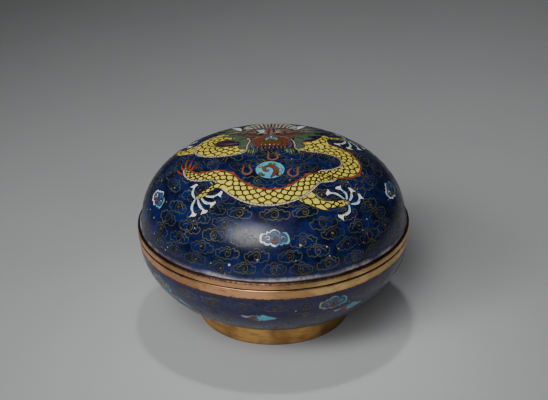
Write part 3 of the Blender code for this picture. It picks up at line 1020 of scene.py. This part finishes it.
class Finish:
    """A procedural material, built up node by node on Object coordinates."""

    def __init__(self, name, roughness, metallic=0.0):
        self.material = bpy.data.materials.new(name)
        self.material.use_nodes = True
        self.tree = self.material.node_tree
        self.shader = self.tree.nodes["Principled BSDF"]
        self.shader.inputs["Roughness"].default_value = roughness
        self.shader.inputs["Metallic"].default_value = metallic
        place = self.node("ShaderNodeTexCoord", {}, {})
        self.place = place.outputs["Object"]

    def node(self, kind, settings, inputs):
        made = self.tree.nodes.new(kind)
        for key, value in settings.items():
            setattr(made, key, value)
        for key, value in inputs.items():
            self.feed(made.inputs[key], value)
        return made

    def feed(self, socket, value):
        if isinstance(value, Number):
            value = value.socket
        if isinstance(value, bpy.types.NodeSocket):
            self.tree.links.new(value, socket)
        else:
            socket.default_value = value

    def noise(self, grain, detail=2.0, distortion=0.0, stretch=(1, 1, 1)):
        """Noise from 0 to 1 with features about grain millimetres wide."""
        place = self.node("ShaderNodeMapping", {}, {"Vector": self.place, "Scale": stretch})
        made = self.node("ShaderNodeTexNoise", {}, {
            "Vector": place.outputs[0], "Scale": 1 / (grain * MM), "Detail": detail, "Distortion": distortion,
        })
        return Number(self, made.outputs["Fac"])

    def cells(self, grain):
        """Distance to the nearest of points scattered grain millimetres apart, in grains."""
        made = self.node("ShaderNodeTexVoronoi", {}, {"Vector": self.place, "Scale": 1 / (grain * MM)})
        return Number(self, made.outputs["Distance"])

    def axis(self, name):
        """One coordinate of the place on the box, in millimetres."""
        parts = self.node("ShaderNodeSeparateXYZ", {}, {"Vector": self.place})
        return Number(self, parts.outputs[name]) * (1 / MM)

    def near(self, point, reach):
        """1 at a point of the box, 0 from reach millimetres away."""
        gap = self.node("ShaderNodeVectorMath", {"operation": "DISTANCE"}, {0: self.place, 1: point})
        return Number(self, gap.outputs["Value"]).ramp(reach * MM, reach * 0.5 * MM)

    def mix(self, factor, first, second):
        made = self.node("ShaderNodeMix", {"data_type": "RGBA"}, {0: factor})
        self.feed(made.inputs[6], first if isinstance(first, bpy.types.NodeSocket) else (*first, 1))
        self.feed(made.inputs[7], second if isinstance(second, bpy.types.NodeSocket) else (*second, 1))
        return made.outputs[2]

    def colour(self, value):
        self.feed(self.shader.inputs["Base Color"], value)

    def roughness(self, value):
        self.feed(self.shader.inputs["Roughness"], value)

    def relief(self, height, depth):
        """Bumps, where height 1 stands depth millimetres proud."""
        bump = self.node("ShaderNodeBump", {}, {"Height": height, "Strength": 1.0, "Distance": depth * MM})
        self.feed(self.shader.inputs["Normal"], bump.outputs["Normal"])


def pits(finish, grain, share, size):
    """Scattered pin holes: 1 in a pit and 0 elsewhere. Only the given share of them is open."""
    open_ones = finish.noise(grain * 1.7, 0.0).ramp(1 - share, 1 - share + 0.03)
    return finish.cells(grain).ramp(size, size * 0.55) * open_ones


# Places on the lid's map where old pits lie together, and where one large pit lies alone
PIT_PATCHES = [(-45.3, -50.4), (-60.3, -53.4), (49.2, -55.9)]
PIT_PATCH_REACH = 6.0
LONE_PITS = [(14.2, -69.4), (-9.3, -76.7), (-26.0, -76.8)]
LONE_PIT_REACH = 0.75


def near_any(finish, places, reach):
    """1 at each of the places on the lid's map, 0 from reach millimetres away."""
    return sum((finish.near(on_dome(Vector((*place, 0))), reach) for place in places), start=0.0)


def ground_enamel():
    """Deep blue ground: navy and cobalt run into each other, with teal and violet, and old pits whose pale
    colour is a painted glint.

    The bowl's enamel is more violet, and above it the band's copper ends in a ragged, stained line. Just
    above the lid's band, a pale ring in patches is painted highlight as well as wear.
    """
    finish = Finish("blue_enamel", 0.20)
    height = finish.axis("Z")
    on_lid = height.ramp(seam_z, seam_z + 0.1)
    navy, cobalt = (0.0024, 0.0044, 0.0190), (0.0052, 0.0130, 0.084)
    teal, violet = (0.0030, 0.0200, 0.0380), (0.0140, 0.0085, 0.0560)
    colour = finish.mix(finish.noise(8, 4, 0.6).ramp(0.38, 0.62), navy, cobalt)
    colour = finish.mix(finish.noise(6, 3, 0.4).ramp(0.54, 0.70) * 0.8, colour, teal)
    purple = finish.noise(7.5, 3, 0.8) + (1 - on_lid) * 0.21
    colour = finish.mix(purple.ramp(0.55, 0.72) * 0.8, colour, violet)
    colour = finish.mix(finish.noise(1.2, 4).ramp(0.42, 0.70) * 0.7, colour, (0.0018, 0.0030, 0.0120))
    small = pits(finish, 3.1, 0.42, 0.085)
    large = pits(finish, 4.6, 0.60, 0.090)
    speck = finish.noise(4, 1).ramp(0.50, 0.56)
    patch = near_any(finish, PIT_PATCHES, PIT_PATCH_REACH)
    lone = near_any(finish, LONE_PITS, LONE_PIT_REACH)
    large = large + pits(finish, 1.9, 0.90, 0.21) * patch + lone
    # Pits are coloured paler than the ground, grey to gold in the small ones and white to gold in the large
    # ones: painted glints in the pits
    colour = finish.mix(small * 0.55, colour, finish.mix(speck, (0.10, 0.11, 0.13), (0.20, 0.13, 0.05)))
    colour = finish.mix(large, colour, finish.mix(speck, (0.62, 0.62, 0.58), (0.50, 0.33, 0.15)))
    ragged = finish.noise(1.7, 4) * 2.4
    below_band = bowl_top_z - height
    above_band = height - (seam_z + LID_BAND_HEIGHT)
    stain = (below_band - ragged * 1.1).ramp(1.5, 0.1) * (1 - on_lid)
    flare = (above_band - ragged * 0.6).ramp(0.9, 0.0) * on_lid
    bare = (below_band - ragged * 0.5).ramp(0.40, 0.12) * (1 - on_lid)
    colour = finish.mix(stain * 0.85, colour, (0.030, 0.014, 0.016))
    worn = finish.mix(finish.noise(5, 4).ramp(0.42, 0.62), (0.040, 0.030, 0.045), (0.14, 0.11, 0.115))
    colour = finish.mix(flare * 0.85, colour, worn)
    # Pale band in patches just above the lid's band: painted highlight where the lamp catches the enamel's
    # flare, broken up like wear
    patches = finish.noise(22, 2).ramp(0.42, 0.58, 0.15, 0.75)
    wear_and_sheen = (above_band - ragged * 0.4).ramp(2.3, 0.3) * above_band.ramp(0.25, 0.6) * on_lid * patches
    streaks = finish.noise(1.3, 4).ramp(0.30, 0.62, 0.30, 0.85)
    colour = finish.mix(wear_and_sheen * streaks, colour, (0.38, 0.36, 0.38))
    finish.colour(finish.mix(bare, colour, copper(finish)))
    finish.feed(finish.shader.inputs["Metallic"], bare)
    gloss = finish.noise(5, 3).ramp(0.3, 0.8, 0.20, 0.30)
    finish.roughness(gloss + small * 0.3 + bare * 0.14 + (stain + flare) * 0.1)
    finish.relief(finish.noise(4, 3) * 0.5 + finish.noise(0.9, 2) * 0.12 - small * 0.5 - large, 0.05)
    return finish.material


def colour_enamel(name, main, second, grain=3.0, roughness=0.3, dirt=0.5):
    """Opaque enamel of one colour: it is uneven, pitted, and darker where dirt has caught."""
    finish = Finish(name, roughness)
    colour = finish.mix(finish.noise(grain, 3, 0.5).ramp(0.35, 0.7), main, second)
    stain = tuple(c * 0.35 for c in main)
    colour = finish.mix(finish.noise(1.3, 3).ramp(0.55, 0.8) * dirt, colour, stain)
    hole = pits(finish, 2.1, 0.4, 0.10)
    colour = finish.mix(hole * 0.8, colour, (0.03, 0.022, 0.015))
    finish.colour(colour)
    finish.roughness(finish.noise(4, 2).ramp(0.3, 0.8, roughness - 0.06, roughness + 0.1))
    finish.relief(finish.noise(2.5, 3) * 0.4 - hole, 0.04)
    return finish.material


def wire_metal(name, bright, dull, metallic):
    """Fine wires: dull, and metal only in part, as a film of dirt and enamel lies on them."""
    finish = Finish(name, 0.5, metallic)
    colour = finish.mix(finish.noise(11, 4).ramp(0.38, 0.58), bright, dull)
    finish.colour(colour)
    finish.roughness(finish.noise(2, 2).ramp(0.3, 0.7, 0.35, 0.6))
    finish.relief(finish.noise(0.8, 2), 0.02)
    return finish.material


def copper(finish):
    """Rubbed copper, with what is left of the gilding mostly on the right, and brown tarnish."""
    streak = (1, 1, 5)
    side = finish.axis("X").ramp(-25, 45, -0.12, 0.14)
    gilt = (finish.noise(11, 4, stretch=streak) + side).ramp(0.44, 0.62)
    colour = finish.mix(gilt, (0.92, 0.49, 0.25), (0.80, 0.54, 0.23))
    broad = finish.noise(30, 2).ramp(0.48, 0.62) * 0.45
    tarnish = finish.noise(7, 5, 0.5, stretch=(1, 1, 2)).ramp(0.50, 0.74) * 0.6 * (1 - broad) + broad
    return finish.mix(tarnish, colour, (0.34, 0.155, 0.066))


def rim_metal():
    """The rims: copper, with a dark ragged stain next to the lid's enamel, and painted shade on the metal
    either side of the seam.
    """
    finish = Finish("rim_metal", 0.36, 1.0)
    height = finish.axis("Z")
    ragged = finish.noise(1.5, 4, stretch=(1, 1, 0.6)) * 1.9
    stain = (height + ragged).ramp(seam_z + LID_BAND_HEIGHT - 0.3, seam_z + LID_BAND_HEIGHT + 0.6)
    stain = stain * height.ramp(seam_z + 1.5, seam_z + 1.9)
    # Painted shade: the metal is darkened close to the seam between lid and bowl
    seam = height.ramp(seam_z - 0.38, seam_z - 0.24) * height.ramp(seam_z + 0.62, seam_z + 0.42)
    spots = pits(finish, 1.7, 0.45, 0.16)
    colour = finish.mix(spots * 0.75, copper(finish), (0.06, 0.032, 0.022))
    colour = finish.mix(stain * 0.93, colour, (0.060, 0.036, 0.038))
    colour = finish.mix(seam * 0.92, colour, (0.030, 0.014, 0.008))
    finish.colour(colour)
    scratch = finish.noise(0.35, 2, stretch=(1, 1, 14))
    finish.roughness(finish.noise(5, 4).ramp(0.3, 0.75, 0.24, 0.42) + scratch * 0.06 + stain * 0.15)
    finish.relief(scratch * 0.25 + finish.noise(2.4, 3) * 0.8 - spots * 0.6, 0.03)
    return finish.material


def foot_metal():
    """Browner brass, scratched round and a little up and down, with painted shade at the bottom where it
    meets the table and at the top under the bowl.
    """
    finish = Finish("foot_metal", 0.42, 1.0)
    brass, brown, red = (0.87, 0.50, 0.165), (0.50, 0.27, 0.095), (0.68, 0.33, 0.13)
    colour = finish.mix(finish.noise(10, 4, stretch=(1, 1, 3)).ramp(0.4, 0.68), brass, brown)
    colour = finish.mix(finish.noise(6, 4).ramp(0.55, 0.75) * 0.6, colour, red)
    rub = finish.noise(0.5, 3, stretch=(1, 1, 9)).ramp(0.52, 0.7) * 0.45
    colour = finish.mix(rub, colour, (0.88, 0.60, 0.27))
    broad = finish.noise(24, 2).ramp(0.46, 0.62) * 0.5
    colour = finish.mix(broad, colour, (0.27, 0.145, 0.060))
    spots = pits(finish, 2.3, 0.45, 0.13)
    colour = finish.mix(spots * 0.7, colour, (0.07, 0.045, 0.025))
    height = finish.axis("Z")
    # Painted shade: darker at the bottom edge on the table and at the top edge under the bowl
    dark = height.ramp(0.8, 0.1) * 0.7 + height.ramp(foot_high.z - 0.5, foot_high.z + 0.1) * 0.6
    colour = finish.mix(dark, colour, (0.045, 0.030, 0.020))
    finish.colour(colour)
    finish.roughness(finish.noise(4, 4).ramp(0.3, 0.75, 0.32, 0.55))
    finish.relief(finish.noise(0.45, 2, stretch=(1, 1, 10)) * 0.4 + finish.noise(3, 3), 0.035)
    return finish.material


ENAMELS = {
    "yellow": ((0.62, 0.54, 0.082), (0.52, 0.43, 0.062), 3.0),
    "red": ((0.27, 0.050, 0.030), (0.20, 0.036, 0.022), 3.0),
    "rust": ((0.130, 0.034, 0.018), (0.092, 0.024, 0.014), 2.5),
    "brick": ((0.15, 0.042, 0.026), (0.10, 0.026, 0.018), 2.5),
    "heart": ((0.17, 0.050, 0.042), (0.12, 0.034, 0.030), 2.0),
    "maroon": ((0.115, 0.060, 0.046), (0.078, 0.034, 0.028), 3.0),
    "plum": ((0.024, 0.014, 0.024), (0.018, 0.012, 0.026), 3.0),
    "clay": ((0.18, 0.105, 0.098), (0.14, 0.088, 0.080), 2.0),
    "flesh": ((0.42, 0.34, 0.27), (0.32, 0.22, 0.17), 2.0),
    "cream": ((0.54, 0.49, 0.42), (0.40, 0.33, 0.27), 2.0),
    "white": ((0.74, 0.76, 0.76), (0.54, 0.58, 0.60), 2.0),
    "lilac": ((0.27, 0.28, 0.38), (0.19, 0.20, 0.32), 2.0),
    "turquoise": ((0.045, 0.29, 0.39), (0.10, 0.36, 0.44), 2.5),
    "turquoise_pale": ((0.20, 0.44, 0.50), (0.40, 0.54, 0.58), 1.5),
    "blue": ((0.012, 0.034, 0.10), (0.05, 0.09, 0.19), 2.0),
    "cobalt": ((0.055, 0.100, 0.17), (0.045, 0.070, 0.14), 2.0),
    "violet": ((0.065, 0.050, 0.100), (0.050, 0.055, 0.110), 2.0),
    "teal": ((0.020, 0.13, 0.14), (0.015, 0.07, 0.09), 2.0),
    "green": ((0.045, 0.085, 0.056), (0.075, 0.105, 0.080), 2.5),
    "green_pale": ((0.19, 0.28, 0.10), (0.12, 0.22, 0.12), 2.0),
    "olive": ((0.130, 0.135, 0.060), (0.09, 0.085, 0.045), 2.0),
    "ochre": ((0.100, 0.052, 0.008), (0.065, 0.034, 0.007), 2.0),
    "bone": ((0.42, 0.41, 0.33), (0.30, 0.29, 0.24), 2.0),
    "ash": ((0.25, 0.25, 0.20), (0.18, 0.18, 0.15), 2.0),
    "grey": ((0.15, 0.15, 0.17), (0.10, 0.095, 0.12), 2.0),
    "flame": ((0.20, 0.075, 0.062), (0.15, 0.056, 0.044), 2.0),
    "steel": ((0.080, 0.165, 0.200), (0.050, 0.110, 0.145), 1.5),
    "brass": ((0.20, 0.135, 0.050), (0.12, 0.085, 0.040), 1.5),
    "night": ((0.0026, 0.0036, 0.0100), (0.0030, 0.0050, 0.0160), 4.0),
    "dark": ((0.006, 0.005, 0.007), (0.010, 0.009, 0.010), 2.0),
}


# Metal shells and their enamel

def turned(profile, closed):
    """Spins a profile of (radius, height) once round Z into a closed mesh, in metres."""
    bm = bmesh.new()
    verts = [bm.verts.new((x * MM, 0, z * MM)) for x, z in profile]
    pairs = list(zip(verts, verts[1:]))
    if closed:
        pairs.append((verts[-1], verts[0]))
    edges = [bm.edges.new(pair) for pair in pairs]
    bmesh.ops.spin(
        bm, geom=verts + edges, cent=(0, 0, 0), axis=(0, 0, 1), angle=math.tau, steps=STEPS_AROUND,
        use_merge=True, use_duplicate=False,
    )
    bmesh.ops.remove_doubles(bm, verts=bm.verts[:], dist=1e-6)
    bmesh.ops.recalc_face_normals(bm, faces=bm.faces[:])
    return bm


def rounded(corner, before, after, size, count=4):
    """A rounded edge between the directions to the points before and after the corner."""
    ends = []
    for other in (before, after):
        away = Vector((other[0] - corner[0], other[1] - corner[1])).normalized() * size
        ends.append((corner[0] + away.x, corner[1] + away.y))
    return bend(ends[0], corner, ends[1], count)


def lid_profiles():
    flare_start = dome.total - FLARE_HEIGHT
    top = dome.points(0, flare_start, PROFILE_STEPS)
    ledge = (RIM_RADIUS - LID_BAND_TAPER, seam_z + LID_BAND_HEIGHT)
    under = dome.points(dome.total, 0, PROFILE_STEPS, -ENAMEL_DEPTH)
    flare = bend(top[-1], (dome_radius - 0.05, dome_z + 0.85), (ledge[0] - 0.15, ledge[1] + 0.45), 14)
    lip = bend(flare[-1], (ledge[0], ledge[1] + 0.40), (ledge[0], ledge[1] + BOND_GAP), 4)
    enamel = top + flare[1:] + lip[1:] + [(ledge[0] - 2.2, ledge[1] + BOND_GAP)] + under[1:]
    seat = dome.points(0, dome.total, PROFILE_STEPS, -ENAMEL_DEPTH - BOND_GAP)
    inner = superellipse(dome_radius - LID_WALL, lid_high.z - LID_WALL - dome_z, DOME_FULLNESS, 60)
    inner = [(x, dome_z + z) for x, z in inner if x < RIM_RADIUS - SOCKET_WALL]
    socket = RIM_RADIUS - SOCKET_WALL
    rim = (RIM_RADIUS, lid_low.z)
    band = bend(ledge, (RIM_RADIUS - 0.1, ledge[1] - 0.1), (RIM_RADIUS, ledge[1] - 1.3), 8)
    metal = seat[:-1] + [(ledge[0] - 2.2, ledge[1])] + band
    metal += rounded(rim, (RIM_RADIUS, ledge[1]), (0, lid_low.z), SEAM_EDGE_ROUND, 4)
    metal += rounded((socket, lid_low.z), rim, (socket, lid_high.z), 0.3) + inner
    return enamel, metal


def bowl_profiles():
    meet = next(s for s in (0.1 * i for i in range(2000)) if bowl_side.at(s)[0] < FOOT_RADIUS + COLLAR)
    side = bowl_side.points(0, meet, PROFILE_STEPS)
    under = bowl_side.points(meet, 0.0, PROFILE_STEPS, -ENAMEL_DEPTH)
    enamel = side + under
    seat = bowl_side.points(0.0, meet, PROFILE_STEPS, -ENAMEL_DEPTH - BOND_GAP)
    band_foot = (bowl_radius, bowl_top_z + BOND_GAP)
    rim = (RIM_RADIUS, seam_z - SEAM_GAP / 2)
    lip = RIM_RADIUS - SOCKET_WALL - LIP_CLEARANCE
    lip_inner = lip - LIP_WALL
    lip_top = bowl_high.z
    inner_radius, inner_depth = bowl_radius - BOWL_WALL, BOWL_DEPTH_TO_AXIS - BOWL_WALL
    floor_z = bowl_low.z + BOWL_WALL
    chamfer_z = bowl_top_z - (inner_radius - lip_inner)
    inner = [(x, bowl_top_z - z) for x, z in superellipse(inner_radius, inner_depth, BOWL_FULLNESS, 80)]
    inner = [(x, z) for x, z in inner if floor_z < z < chamfer_z]
    metal = [(0, floor_z)] + inner[::-1]
    metal += [(inner[0][0], chamfer_z), (lip_inner, bowl_top_z)]
    metal += rounded((lip_inner, lip_top), (lip_inner, 0), (lip, lip_top), LIP_EDGE_ROUND, 4)
    metal += rounded((lip, lip_top), (lip_inner, lip_top), (lip, 0), LIP_EDGE_ROUND, 4)
    metal += [(lip, rim[1])]
    metal += rounded(rim, (lip, rim[1]), (RIM_RADIUS, 0), RIM_EDGE_ROUND, 6)
    metal += [band_foot, (bowl_radius - ENAMEL_DEPTH, bowl_top_z + BOND_GAP)] + seat[1:]
    last = seat[-1]
    metal += [(last[0] - 1.2, bowl_side.at(meet + 1.3, -BOND_GAP)[1])]
    metal += [p for p in bowl_side.points(meet + 2.0, bowl_side.total, 60) if p[1] > bowl_low.z]
    metal += [(0, bowl_low.z)]
    return enamel, metal


def foot_profile():
    inner = FOOT_RADIUS - FOOT_WALL
    top_out = (FOOT_RADIUS - FOOT_TAPER, foot_high.z)
    top_in = (inner, foot_high.z - 1.08)
    ring = [top_out] + rounded((FOOT_RADIUS, foot_low.z), top_out, (inner, 0), FOOT_EDGE_ROUND, 5)
    return ring + rounded((inner, foot_low.z), (FOOT_RADIUS, 0), top_in, FOOT_EDGE_ROUND, 5) + [top_in]


# Half widths of the wires, in millimetres
FIGURE_WIRE = 0.19
SCALE_WIRE = 0.41
LID_GROUND_WIRE = 0.23
BOWL_GROUND_WIRE = 0.16

blue = ground_enamel()
rims = rim_metal()
lid_enamel_profile, lid_metal_profile = lid_profiles()
bowl_enamel_profile, bowl_metal_profile = bowl_profiles()
finish_mesh(turned(lid_enamel_profile, False), "lid_enamel", blue, "lid")
finish_mesh(turned(lid_metal_profile, False), "lid_metal", rims, "lid")
finish_mesh(turned(bowl_enamel_profile, True), "bowl_enamel", blue, "bowl")
finish_mesh(turned(bowl_metal_profile, False), "bowl_metal", rims, "bowl")
finish_mesh(turned(foot_profile(), True), "foot", foot_metal(), "foot_ring")

figure_wire = wire_metal("figure_wire", (0.10, 0.062, 0.030), (0.040, 0.024, 0.015), 0.5)
scale_wire = wire_metal("scale_wire", (0.048, 0.028, 0.008), (0.022, 0.012, 0.005), 0.2)
ground_wire = wire_metal("ground_wire", (0.090, 0.088, 0.036), (0.038, 0.042, 0.026), 0.2)
finishes = {name: colour_enamel(name + "_enamel", *values) for name, values in ENAMELS.items()}
for drawing, ground_half_width in ((lid_drawing, LID_GROUND_WIRE), (bowl_drawing, BOWL_GROUND_WIRE)):
    for name in ENAMELS:
        if any(colour == name for colour, _, _ in drawing.areas):
            area_piece(drawing, name, finishes[name])
    wire_piece(drawing, "figure", FIGURE_WIRE, figure_wire, drawing.name + "_figure_wires")
    wire_piece(drawing, "ground", ground_half_width, ground_wire, drawing.name + "_ground_wires")
wire_piece(lid_drawing, "scale", SCALE_WIRE, scale_wire, "lid_scale_wires")


# Studio: pale floor, soft light from above on the left, and the camera where the photograph was taken

CAMERA_DISTANCE = 0.840
CAMERA_RISE = math.radians(27.6)
CAMERA_TILT = math.radians(0.826)
CAMERA_TURN = math.radians(-0.033)
CAMERA_ROLL = math.radians(-0.75)
LENS = 106.55
FLOOR_SIZE = 6.0
FLOOR_DROP = 0.0001
FLOOR_AIM = Vector((0, -0.045, 0.02))
WORLD_STRENGTH = 0.035

# Name, degrees to the right of the front and up, distance and size in metres, spread in degrees,
# watts, and whether the lamp shows in the gloss. One that does is aimed at the middle of the seam,
# and the others at FLOOR_AIM.
LAMPS = [
    ("key", -25.0, 50.0, 0.95, 0.72, 44, 0.76, True),
    ("main", -52.0, 36.0, 1.3, 0.5, 44, 0.48, False),
    ("front", -12.0, 25.0, 1.4, 0.6, 44, 0.50, False),
    ("back", 170.0, 48.0, 1.4, 1.0, 44, 0.07, False),
    ("crown", 180.0, 76.0, 1.2, 0.10, 14, 0.038, False),
]


def studio():
    """Floor, lamps, world and camera. The floor is staging and not part of the box."""
    bm = bmesh.new()
    bmesh.ops.create_grid(bm, x_segments=2, y_segments=2, size=FLOOR_SIZE / 2)
    mesh = bpy.data.meshes.new("floor")
    bm.to_mesh(mesh)
    bm.free()
    finish = Finish("floor_paper", 0.6)
    finish.colour(finish.mix(finish.noise(60, 2), (0.40, 0.405, 0.41), (0.43, 0.435, 0.44)))
    mesh.materials.append(finish.material)
    floor = bpy.data.objects.new("floor", mesh)
    floor.location.z = -FLOOR_DROP
    bpy.context.scene.collection.objects.link(floor)
    aim = Vector((0, 0, seam_z * MM))
    for name, turn, rise, distance, size, spread, power, mirrored_in_gloss in LAMPS:
        turn, rise = math.radians(turn), math.radians(rise)
        light = bpy.data.lights.new(name, "AREA")
        light.shape = "DISK"
        light.size = size
        light.energy = power
        light.spread = math.radians(spread)
        lamp = bpy.data.objects.new(name, light)
        towards = Vector((math.sin(turn) * math.cos(rise), -math.cos(turn) * math.cos(rise), math.sin(rise)))
        lamp.location = (aim if mirrored_in_gloss else FLOOR_AIM) + towards * distance
        lamp.rotation_mode = "QUATERNION"
        lamp.rotation_quaternion = towards.to_track_quat("Z", "Y")
        lamp.visible_glossy = mirrored_in_gloss
        bpy.context.scene.collection.objects.link(lamp)
    world = bpy.data.worlds.new("studio")
    world.use_nodes = True
    world.node_tree.nodes["Background"].inputs["Color"].default_value = (0.80, 0.82, 0.85, 1)
    world.node_tree.nodes["Background"].inputs["Strength"].default_value = WORLD_STRENGTH
    bpy.context.scene.world = world
    camera = bpy.data.cameras.new("camera")
    camera.lens = LENS
    camera.sensor_width = 36.0
    camera.clip_start = 0.05
    camera.clip_end = 20.0
    holder = bpy.data.objects.new("camera", camera)
    back = Vector((0, -math.cos(CAMERA_RISE), math.sin(CAMERA_RISE)))
    holder.location = aim + back * CAMERA_DISTANCE
    holder.rotation_mode = "XYZ"
    pitch = math.pi / 2 - CAMERA_RISE + CAMERA_TILT
    look = Matrix.Rotation(CAMERA_TURN, 3, "Z") @ Matrix.Rotation(pitch, 3, "X")
    look = look @ Matrix.Rotation(CAMERA_ROLL, 3, "Z")
    holder.rotation_euler = look.to_euler()
    bpy.context.scene.collection.objects.link(holder)
    bpy.context.scene.camera = holder


studio()
